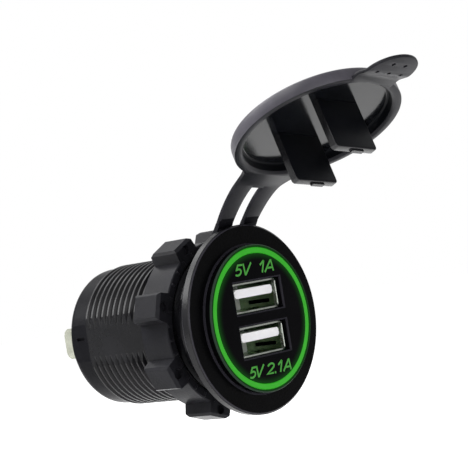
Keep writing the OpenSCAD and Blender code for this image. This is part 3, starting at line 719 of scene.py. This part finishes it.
@dataclass
class RubberCap:
    """The cap: a ring behind the flange, two straps, a lid, its tab and its blades."""

    flange_r: float = 18.5
    flange_t: float = 1.9
    band_in: float = 14.25
    band_out: float = 17.2
    band_t: float = 1.5
    lid_r: float = 16.47
    lid_bore: float = 14.65
    rim_y: float = -2.0
    floor_y: float = -4.05
    edge_y: float = -4.6
    crown: float = 1.5
    strap_t: float = 0.9
    strap_out: float = 5.7
    strap_in: float = 1.6
    sway: Point2 = (0.5, 0.9)
    web_reach: float = 18.0
    slot_end: float = 0.88
    # Height below which the straps' front faces get the painted shadow.
    root_shadow_z: float = 19.75
    tab_r: float = 5.5
    tab_reach: float = 2.8
    tab_t: float = 0.65
    tab_fold: float = 16.6
    tab_bend: float = 3.0
    tab_rise: float = 0.84
    tab_slope: float = 0.055
    blade_reach: float = 8.2
    pole: Vector = field(default_factory=lambda: Vector((0, -2.66, 23.98)))
    open_angle: float = 114.0
    skew: Point2 = (4.5, 2.6)

    def opening(self) -> Matrix:
        """Give the turn that takes the closed lid to where it stands open."""
        a, b = (math.radians(v) for v in self.skew)
        axis = Vector((-math.cos(a) * math.cos(b), math.sin(a), math.sin(b))).normalized()
        turn = Matrix.Rotation(math.radians(self.open_angle), 4, axis)
        return Matrix.Translation(self.pole) @ turn @ Matrix.Translation(-self.pole)

    def lid(self, m: Mesher) -> list[bmesh.types.BMVert]:
        """Spin the lid's shell as it lies closed.

        Args:
            m: The mesh to add it to.

        Returns:
            Its vertices.
        """
        edge = self.lid_r - 0.45
        crown = [(edge * k, self.edge_y - self.crown * (1 - k * k)) for k in (0, 0.2, 0.4, 0.6, 0.75, 0.9, 1.0)]
        profile = crown + [
            (self.lid_r - 0.2, self.edge_y + 0.14), (self.lid_r - 0.06, self.edge_y + 0.4),
            (self.lid_r, self.edge_y + 0.8), (self.lid_r, self.rim_y - 0.25),
            (self.lid_r - 0.08, self.rim_y - 0.07), (self.lid_r - 0.28, self.rim_y),
            (self.lid_bore + 0.55, self.rim_y), (self.lid_bore + 0.45, self.rim_y - 0.03),
            (self.lid_bore + 0.08, self.rim_y - 0.32), (self.lid_bore, self.rim_y - 0.42),
            (self.lid_bore, self.floor_y + 0.6),
            (self.lid_bore - 0.12, self.floor_y + 0.2), (self.lid_bore - 0.45, self.floor_y),
            (self.lid_bore - 0.6, self.floor_y), (self.lid_bore - 1.0, self.floor_y),
            (0.0, self.floor_y),
        ]
        return m.lathe(profile)

    def bent(self, reach: float) -> float:
        """Give how far the tab stands inward of the rim's plane at a reach from the lid's axis."""
        out = max(0.0, reach - self.tab_fold)
        k = min(1.0, out / self.tab_bend)
        return self.tab_rise * k * k * (3 - 2 * k) + self.tab_slope * max(0.0, out - self.tab_bend)

    def tab(self, m: Mesher) -> list[bmesh.types.BMVert]:
        """Make the straight-sided pull tab, bent over the flange's edge.

        Args:
            m: The mesh to add it to.

        Returns:
            Its vertices.
        """
        r, c = self.tab_r, -self.lid_r - self.tab_reach
        tip = [(r * math.cos(a), c + r * math.sin(a)) for a in
               (math.radians(-180 + 180 * i / 28) for i in range(29))]
        side = [(r, -17.2), (r, -15.2)]
        inner = [(15.15 * math.sin(a), -15.15 * math.cos(a)) for a in
                 (math.radians(21 - 42 * i / 12) for i in range(13))]
        outline = tip + side + inner + [(-x, z) for x, z in reversed(side)]
        new = m.slab(outline, self.rim_y - self.tab_t, self.rim_y + 0.015, edge=0.2)
        for reach in (0.0, 0.3, 0.6, 0.9, 1.2, 1.5, 1.8, 2.1, 2.4, 2.7, 3.0, 4.0, 5.0, 6.2):
            geom = list({g for v in new for g in (v, *v.link_edges, *v.link_faces)})
            made = bmesh.ops.bisect_plane(m.bm, geom=geom, dist=1e-5, plane_co=(0, 0, -self.tab_fold - reach),
                                          plane_no=(0, 0, 1))
            new = list({v for v in new if v.is_valid} | {g for g in made["geom_cut"] if isinstance(g, bmesh.types.BMVert)})
        for v in new:
            v.co.y += self.bent(-v.co.z)
        return new

    def dimples(self) -> Mesher:
        """Make the pins that leave five grip dimples in the tab.

        Returns:
            The pins' mesh.
        """
        pins = Mesher()
        for x, reach in ((-3.1, 19.25), (0.0, 19.25), (3.1, 19.25), (-1.55, 22.0), (1.55, 22.0)):
            made = bmesh.ops.create_cone(
                pins.bm, cap_ends=True, segments=24, radius1=0.34, radius2=0.46, depth=0.9,
            )["verts"]
            bmesh.ops.rotate(pins.bm, verts=made, matrix=Matrix.Rotation(math.radians(-90), 3, "X"))
            bmesh.ops.translate(pins.bm, verts=made, vec=(x, self.rim_y + self.bent(reach), -reach))
        return pins

    def blades(self, turn: Matrix) -> bpy.types.Object:
        """Build the two soft blades that plug the ports.

        Args:
            turn: The opening turn.

        Returns:
            The piece.
        """
        m = Mesher()
        for low in (4.75, -6.5):
            before = set(m.bm.verts)
            made = bmesh.ops.create_cube(m.bm, size=1.0)["verts"]
            length = self.rim_y + self.blade_reach - self.floor_y + 0.1
            bmesh.ops.scale(m.bm, vec=(10.9, length, 1.5), verts=made)
            bmesh.ops.translate(m.bm, vec=(0, self.floor_y - 0.1 + length / 2, low + 0.75), verts=made)
            corners = list({e for v in made for e in v.link_edges if e.verts[0].co.y > 6 and e.verts[1].co.y > 6
                            and abs(e.verts[0].co.z - e.verts[1].co.z) > 1})
            bmesh.ops.bevel(m.bm, geom=corners, offset=0.7, segments=5, profile=0.5, affect="EDGES",
                            clamp_overlap=True, material=-1)
            body = [v for v in m.bm.verts if v not in before]
            edges = list({e for v in body for e in v.link_edges if e.calc_face_angle(0) > 0.6})
            bmesh.ops.bevel(m.bm, geom=edges, offset=0.22, segments=3, profile=0.5, affect="EDGES",
                            clamp_overlap=True, material=-1)
            # The small gate mark in the middle of the tip.
            nub = bmesh.ops.create_cube(m.bm, size=1.0)["verts"]
            bmesh.ops.scale(m.bm, vec=(3.0, 0.6, 0.8), verts=nub)
            bmesh.ops.translate(m.bm, vec=(0.4, self.rim_y + self.blade_reach + 0.1, low + 0.75), verts=nub)
        m.bm.normal_update()
        # Painted highlight on the blades' tips and the sides facing -x.
        for f in m.bm.faces:
            if f.normal.x < -0.3 or f.normal.y > 0.5:
                f.material_index = 1
        bmesh.ops.transform(m.bm, matrix=turn, verts=m.bm.verts)
        piece = m.finish("plug_blades", PLUG, "cap_rubber", others=(PLUG_HIGHLIGHT,))
        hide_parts("cap_plugs")
        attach(piece, Body.CAP.value)
        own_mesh(piece)
        return piece

    def path(self, turn: Matrix, t: float) -> tuple[Vector, Vector]:
        """Give the straps' middle line.

        Args:
            turn: The opening turn.
            t: From 0 at the flange to 1 at the lid.

        Returns:
            The point and its direction.
        """
        a = Vector((self.sway[0], -0.62, self.flange_r + 0.6))
        d = turn @ Vector((self.sway[1], self.rim_y + 0.015 - self.strap_t / 2, self.web_reach))
        b = a + 2.77 * Vector((0, -1.68, 2.2)).normalized()
        c = d - 3.4 * (turn.to_3x3() @ Vector((0, 0, -1)))
        if t > 1:
            return d + (d - c) * 3 * (t - 1), (d - c).normalized()
        s = 1 - t
        point = a * s**3 + b * 3 * s * s * t + c * 3 * s * t * t + d * t**3
        slope = (b - a) * s * s + (c - b) * 2 * s * t + (d - c) * t * t
        return point, slope.normalized()

    def band(self, m: Mesher, turn: Matrix, spans: Sequence[tuple[float, float, float]]) -> None:
        """Sweep one strap with rounded edges along the path.

        Args:
            m: The mesh to add it to.
            turn: The opening turn.
            spans: Path value and the two edges' x at each step.
        """
        face = None
        lid_x = turn.to_3x3() @ Vector((1, 0, 0))
        h, r = self.strap_t / 2, 0.2
        arc = [(r * math.sin(a), r * (1 - math.cos(a))) for a in (0.0, math.radians(45), math.radians(90))]
        for t, x0, x1 in spans:
            point, slope = self.path(turn, t)
            across = Vector((1, 0, 0)).lerp(lid_x, max(0.0, min(1.0, t)))
            across = (across - slope * across.dot(slope)).normalized()
            out = across.cross(slope)
            corner = [(x1 - r + a, -h + b) for a, b in arc] + [(x1 - b, h - r + a) for a, b in arc]
            section = corner + [(x0 + x1 - x, -y) for x, y in corner]
            places = [point + across * x + out * y for x, y in section]
            if face is None:
                face = m.bm.faces.new([m.bm.verts.new(p) for p in places])
                continue
            made = bmesh.ops.extrude_face_region(m.bm, geom=[face])["geom"]
            face = next(g for g in made if isinstance(g, bmesh.types.BMFace))
            for vert, place in zip(face.verts, places):
                vert.co = place

    def straps(self, m: Mesher, turn: Matrix) -> None:
        """Sweep the two straps and the web that joins them.

        Args:
            m: The mesh to add them to.
            turn: The opening turn.
        """
        before = set(m.bm.verts)
        steps = 26
        for side in (-1, 1):
            spans = []
            for i in range(steps + 1):
                t = -0.09 + (self.slot_end + 0.09) * i / steps
                x0, x1 = self.strap_in - 0.3 * max(t, 0), self.strap_out
                spans.append((t, x0, x1) if side > 0 else (t, -x1, -x0))
            self.band(m, turn, spans)
        web = []
        first, last = self.slot_end - 0.05, 1.26
        for i in range(13):
            t = first + (last - first) * i / 12
            half = self.strap_out + 0.005 + 8 * max(t - 0.85, 0) ** 2
            web.append((t, -half, half))
        self.band(m, turn, web)
        new = [v for v in m.bm.verts if v not in before]
        faces = list({f for v in new for f in v.link_faces})
        bmesh.ops.recalc_face_normals(m.bm, faces=faces)

    def roots(self, m: Mesher) -> None:
        """Paint a shadow on the straps' front faces near the flange with a darker finish.

        Args:
            m: The mesh that holds the straps alone.
        """
        m.bm.normal_update()
        for f in m.bm.faces:
            if f.normal.y < -0.3 and f.calc_center_median().z < self.root_shadow_z:
                f.material_index = 4

    def ring(self, m: Mesher) -> None:
        """Spin the retaining ring and add the straps' roots round the flange's rim.

        Args:
            m: The mesh to add them to.
        """
        t, o = self.band_t, self.band_out
        m.lathe([(self.band_in, 0.02), (o - 0.2, 0.02), (o, 0.2), (o, t - 0.4), (o - 0.1, t - 0.12),
                 (o - 0.35, t), (self.band_in, t)])
        for side in (-1, 1):
            before = set(m.bm.verts)
            x0, x1 = self.strap_in + 0.02, self.strap_out - 0.02
            low = [math.sqrt(self.flange_r**2 - (self.sway[0] + side * x) ** 2) for x in (x0, x1)]
            front = [-0.964 + 0.75 * (18.842 - z) for z in low]
            profile = [(0.02, 16.0), (t, 16.0), (t, 17.0), (-0.276, 19.358), (-0.964, 18.842), (front[0], low[0]),
                       (0.02, low[0])]
            verts = [m.bm.verts.new((x0 * side, y, z)) for y, z in profile]
            face = m.bm.faces.new(verts)
            made = bmesh.ops.extrude_face_region(m.bm, geom=[face], use_keep_orig=True)["geom"]
            far = [g for g in made if isinstance(g, bmesh.types.BMVert)]
            bmesh.ops.translate(m.bm, verts=far, vec=((x1 - x0) * side, 0, 0))
            for vert in far:
                if abs(vert.co.z - low[0]) < 1e-4:
                    vert.co.z = low[1]
                    if vert.co.y < 0:
                        vert.co.y = min(front[1], 0.0)
            new = [v for v in m.bm.verts if v not in before]
            bmesh.ops.translate(m.bm, verts=new, vec=(self.sway[0], 0, 0))
            faces = list({f for v in new for f in v.link_faces})
            bmesh.ops.recalc_face_normals(m.bm, faces=faces)

    def build(self) -> bpy.types.Object:
        """Build the whole cap as one piece.

        Returns:
            The piece.
        """
        m, tab = Mesher(), Mesher()
        turn = self.opening()
        self.tab(tab)
        tab.cut(self.dimples())
        swung = self.lid(m)
        for f in {f for v in swung for f in v.link_faces}:
            middle = f.calc_center_median()
            # The lid's floor and inner wall take darker copies of the rubber: painted shade.
            if math.hypot(middle.x, middle.z) < self.lid_bore + 0.02 and middle.y > self.floor_y - 0.02:
                f.material_index = 1 if middle.y < self.floor_y + 0.02 else 2
            # The lid's outer side and back take the lighter copy: painted light.
            elif middle.y < self.rim_y - 0.1 and math.hypot(middle.x, middle.z) > self.lid_r - 0.3 or f.normal.y < -0.5:
                f.material_index = 3
        swung += m.take(tab)
        bmesh.ops.transform(m.bm, matrix=turn, verts=list(set(swung)))
        straps = Mesher()
        self.straps(straps, turn)
        self.roots(straps)
        m.take(straps)
        self.ring(m)
        piece = m.finish("rubber_cap", RUBBER, "cap_rubber", others=(FLOOR, RECESS, RUBBER_BACK, ROOT_SHADOW))
        root, _ = self.path(turn, 0.0)
        end, _ = self.path(turn, 1.0)
        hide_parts("cap_ring", "cap_straps", "cap_lid")
        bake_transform(piece)
        self.blades(turn)
        return piece


# ---------------------------------------------------------------- the lettering


def arc(x: float, z: float, rx: float, rz: float, start: float, end: float, steps: int = 14) -> list[Point2]:
    """Give points along an elliptic arc.

    Args:
        x: Centre across.
        z: Centre's height.
        rx: Half width.
        rz: Half height.
        start: First angle in degrees.
        end: Last angle in degrees.
        steps: Number of steps.

    Returns:
        The points.
    """
    angles = (math.radians(start + (end - start) * i / steps) for i in range(steps + 1))
    return [(x + rx * math.cos(a), z + rz * math.sin(a)) for a in angles]


# Each character's pen strokes in a box one wide and one high.
STROKES: dict[str, list[list[Point2]]] = {
    "5": [[(0.93, 0.92), (0.28, 0.92), (0.17, 0.545)] + arc(0.45, 0.335, 0.42, 0.255, 125, -140)],
    "V": [[(0.07, 1.0), (0.47, 0.07), (0.53, 0.07), (0.93, 1.0)]],
    "1": [[(0.06, 0.66), (0.66, 0.93), (0.84, 1.0)], [(0.84, 1.0), (0.84, 0.0)]],
    "A": [[(0.04, 0.0), (0.47, 0.93), (0.53, 0.93), (0.96, 0.0)], [(0.235, 0.31), (0.765, 0.31)]],
    "2": [arc(0.49, 0.69, 0.39, 0.235, 172, -25) + [(0.62, 0.40), (0.13, 0.085), (0.95, 0.085)]],
    ".": [[(0.5, 0.0), (0.5, 1.0)]],
}


@dataclass
class Ratings:
    """Plain ratings beside the ports, slanted, printed on the face plate."""

    face_y: float = -3.7
    thickness: float = 0.04
    lean: float = 0.40
    pen: float = 0.36
    upper: Point2 = (8.64, 2.27)
    lower: Point2 = (-10.95, 2.20)
    upper_marks: tuple = (("5", -6.14, 2.0), ("V", -4.26, 2.66), ("1", 0.94, 1.22), ("A", 2.64, 2.76))
    lower_marks: tuple = (("5", -6.56, 1.9), ("V", -5.06, 2.5), ("2", -1.6, 2.3), (".", 0.9, 0.38),
                          ("1", 1.66, 1.2), ("A", 3.5, 2.46))

    def stroke(self, m: Mesher, points: Sequence[Vector], pen: float) -> None:
        """Draw one pen stroke with mitred corners.

        Args:
            m: The mesh to add it to.
            points: Its middle line on the face, in x and z.
            pen: Its width.
        """
        ends = []
        for i, point in enumerate(points):
            ways = [(b - a).normalized() for a, b in
                    ((points[j], points[j + 1]) for j in (i - 1, i) if 0 <= j < len(points) - 1)]
            along = sum(ways, Vector((0, 0))).normalized()
            side = Vector((-along.y, along.x))
            reach = pen / 2 / max(0.5, side.dot(Vector((-ways[0].y, ways[0].x))))
            ends.append(tuple(Vector((q.x, self.face_y, q.y)) for q in (point - side * reach, point + side * reach)))
        m.thicken(m.strip(ends), Vector((0, -self.thickness, 0)))

    def build(self) -> bpy.types.Object:
        """Build all the marks as one thin printed piece.

        Returns:
            The piece.
        """
        m = Mesher()
        for (foot, height), marks in ((self.upper, self.upper_marks), (self.lower, self.lower_marks)):
            for mark, left, width in marks:
                tall, pen = (width, width) if mark == "." else (height, self.pen)
                for line in STROKES[mark]:
                    self.stroke(m, [Vector((left + width * x + self.lean * tall * z, foot + tall * z))
                                    for x, z in line], pen)
        piece = m.finish("rating_lettering", SIGNS, "light_lens")
        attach(piece, Body.SOCKET.value)
        return piece


# ---------------------------------------------------------------- the ports' springs


@dataclass
class PortSprings:
    """Bent springs in the windows of each port, and the rolled lips at its sides."""

    centres: Point2 = (4.39, -4.05)
    inner_half: float = 2.56
    thickness: float = 0.14
    width: float = 1.35
    spread: float = 3.2
    lip_x: float = 6.4
    lip_y: float = -2.5
    lip_r: float = 0.17
    lip_half: float = 2.3
    path: tuple = ((4.3, 0.16), (3.4, 0.12), (2.6, -0.02), (1.9, -0.20), (1.4, -0.30), (1.0, -0.30),
                   (0.6, -0.18), (0.3, 0.02))

    def build(self) -> bpy.types.Object:
        """Bend a strip for each spring and each lip.

        Returns:
            The piece.
        """
        m = Mesher()
        for centre in self.centres:
            for side in (-1, 1):
                for x in (-self.spread, self.spread):
                    half = self.width / 2
                    ends = [tuple(Vector((x + w, y, centre + side * (self.inner_half + rise))) for w in (-half, half))
                            for y, rise in self.path]
                    m.thicken(m.strip(ends), Vector((0, 0, side * self.thickness)))
            for side in (-1, 1):
                turns = [math.radians(a) for a in (-90, -45, 0, 45, 90)]
                ends = [tuple(Vector((side * (self.lip_x + self.lip_r * math.sin(a)),
                                      self.lip_y - self.lip_r * math.cos(a), centre + h * self.lip_half))
                              for h in (-1, 1)) for a in turns]
                m.thicken(m.strip(ends), Vector((0, self.lip_r / 2, 0)))
        piece = m.finish("port_springs", STEEL, "shell_steel")
        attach(piece, Body.SOCKET.value)
        return piece


# ---------------------------------------------------------------- the studio


@dataclass
class Studio:
    """Camera, lamps, floor and background."""

    camera_mm: tuple = (-240.245, -216.469, 11.877)
    azimuth: float = 47.952
    elevation: float = 0.884
    roll: float = 9.090
    lens: float = 128.11
    floor_z: float = -0.070

    def camera(self) -> None:
        """Set the camera up as the photograph's was."""
        data = bpy.data.cameras.new("camera")
        data.lens = self.lens
        data.sensor_width = 36.0
        data.clip_start = 0.01
        data.clip_end = 20.0
        cam = bpy.data.objects.new("camera", data)
        level = Matrix.Rotation(math.radians(-self.azimuth), 4, "Z") @ Matrix.Rotation(
            math.radians(90 + self.elevation), 4, "X")
        cam.matrix_world = (Matrix.Translation(row(*self.camera_mm)) @ level
                            @ Matrix.Rotation(math.radians(-self.roll), 4, "Z"))
        bpy.context.scene.collection.objects.link(cam)
        bpy.context.scene.camera = cam

    def lamp(self, name: str, place: Vector, aim: Vector, size: float, power: float, color: Color = (1, 1, 1)) -> None:
        """Add one soft square lamp.

        Args:
            name: Its name.
            place: Where it stands, in metres.
            aim: What it points at.
            size: Its side, in metres.
            power: Its power in watts.
            color: Its colour.
        """
        data = bpy.data.lights.new(name, "AREA")
        data.shape = "SQUARE"
        data.size = size
        data.energy = power
        data.color = color
        lamp = bpy.data.objects.new(name, data)
        lamp.location = place
        lamp.rotation_euler = (aim - place).to_track_quat("-Z", "Y").to_euler()
        bpy.context.scene.collection.objects.link(lamp)

    @staticmethod
    def seen(g: Graph) -> bpy.types.NodeSocket:
        """Give the mask of rays that show the background itself.

        Args:
            g: The graph to add it to.

        Returns:
            The mask.
        """
        path = g.add("ShaderNodeLightPath")
        seen = g.math("ADD", path.outputs["Is Camera Ray"], path.outputs["Is Glossy Ray"])
        return g.math("ADD", seen, path.outputs["Is Transmission Ray"], clamp=True)

    def backdrop(self) -> None:
        """Lay the floor and set the world, both white where the camera sees them."""
        m = Mesher()
        bmesh.ops.create_grid(m.bm, x_segments=2, y_segments=2, size=2.0)
        bmesh.ops.translate(m.bm, verts=m.bm.verts, vec=(0, 0, self.floor_z))
        mesh = bpy.data.meshes.new("floor")
        m.bm.to_mesh(mesh)
        m.bm.free()
        floor = bpy.data.objects.new("floor", mesh)
        bpy.context.scene.collection.objects.link(floor)
        made = bpy.data.materials.new("floor_pale")
        made.use_nodes = True
        g = Graph(made.node_tree)
        shader = g.add("ShaderNodeBsdfPrincipled", {"Base Color": (0.9, 0.9, 0.9), "Roughness": 0.9,
                                                    "Specular IOR Level": 0.0})
        seen = self.seen(g)
        glow = g.add("ShaderNodeEmission", {"Color": (1.0, 1.0, 1.0), "Strength": 1.0})
        g.tree.links.new(g.math("MULTIPLY", seen, 0.82), glow.inputs["Strength"])
        shade = g.add("ShaderNodeAddShader", {0: shader.outputs[0], 1: glow.outputs[0]})
        g.add("ShaderNodeOutputMaterial", {"Surface": shade.outputs[0]})
        mesh.materials.append(made)
        world = bpy.data.worlds.new("studio")
        bpy.context.scene.world = world
        world.use_nodes = True
        g = Graph(world.node_tree)
        seen = self.seen(g)
        white = g.add("ShaderNodeBackground", {"Color": (1.0, 1.0, 1.0), "Strength": 1.0})
        soft = g.add("ShaderNodeBackground", {"Color": (1.0, 1.0, 1.0), "Strength": 0.25})
        mix = g.add("ShaderNodeMixShader", {0: seen, 1: soft.outputs[0], 2: white.outputs[0]})
        g.add("ShaderNodeOutputWorld", {"Surface": mix.outputs[0]})

    def build(self) -> None:
        """Set the whole studio up."""
        self.camera()
        self.backdrop()
        aim = Vector((0.0, 0.0, 0.01))
        self.lamp("left", Vector((-0.33, 0.45, 0.38)), aim, 0.26, 2.6)
        self.lamp("high_left", Vector((-0.36, 0.04, 0.46)), aim, 0.30, 2.5)
        self.lamp("top", Vector((-0.02, 0.30, 0.55)), aim, 0.45, 3.6)
        self.lamp("front", Vector((-0.35, -0.62, 0.22)), aim, 0.50, 2.4)
        view = bpy.context.scene.view_settings
        view.view_transform = "Standard"


def dress_solids() -> None:
    """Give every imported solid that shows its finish."""
    for node, finish in NODE_FINISH.items():
        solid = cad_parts[node]
        for slot in solid.material_slots:
            slot.material = finish.material()
        log.info("%s: %s", node, finish.name)


def main() -> None:
    """Build the pieces in order."""
    logging.basicConfig(level=logging.INFO, format="%(name)s: %(message)s")
    Studio().build()
    dress_solids()
    RubberCap().build()
    Ratings().build()
    PortSprings().build()


if __name__ == "__main__":
    main()
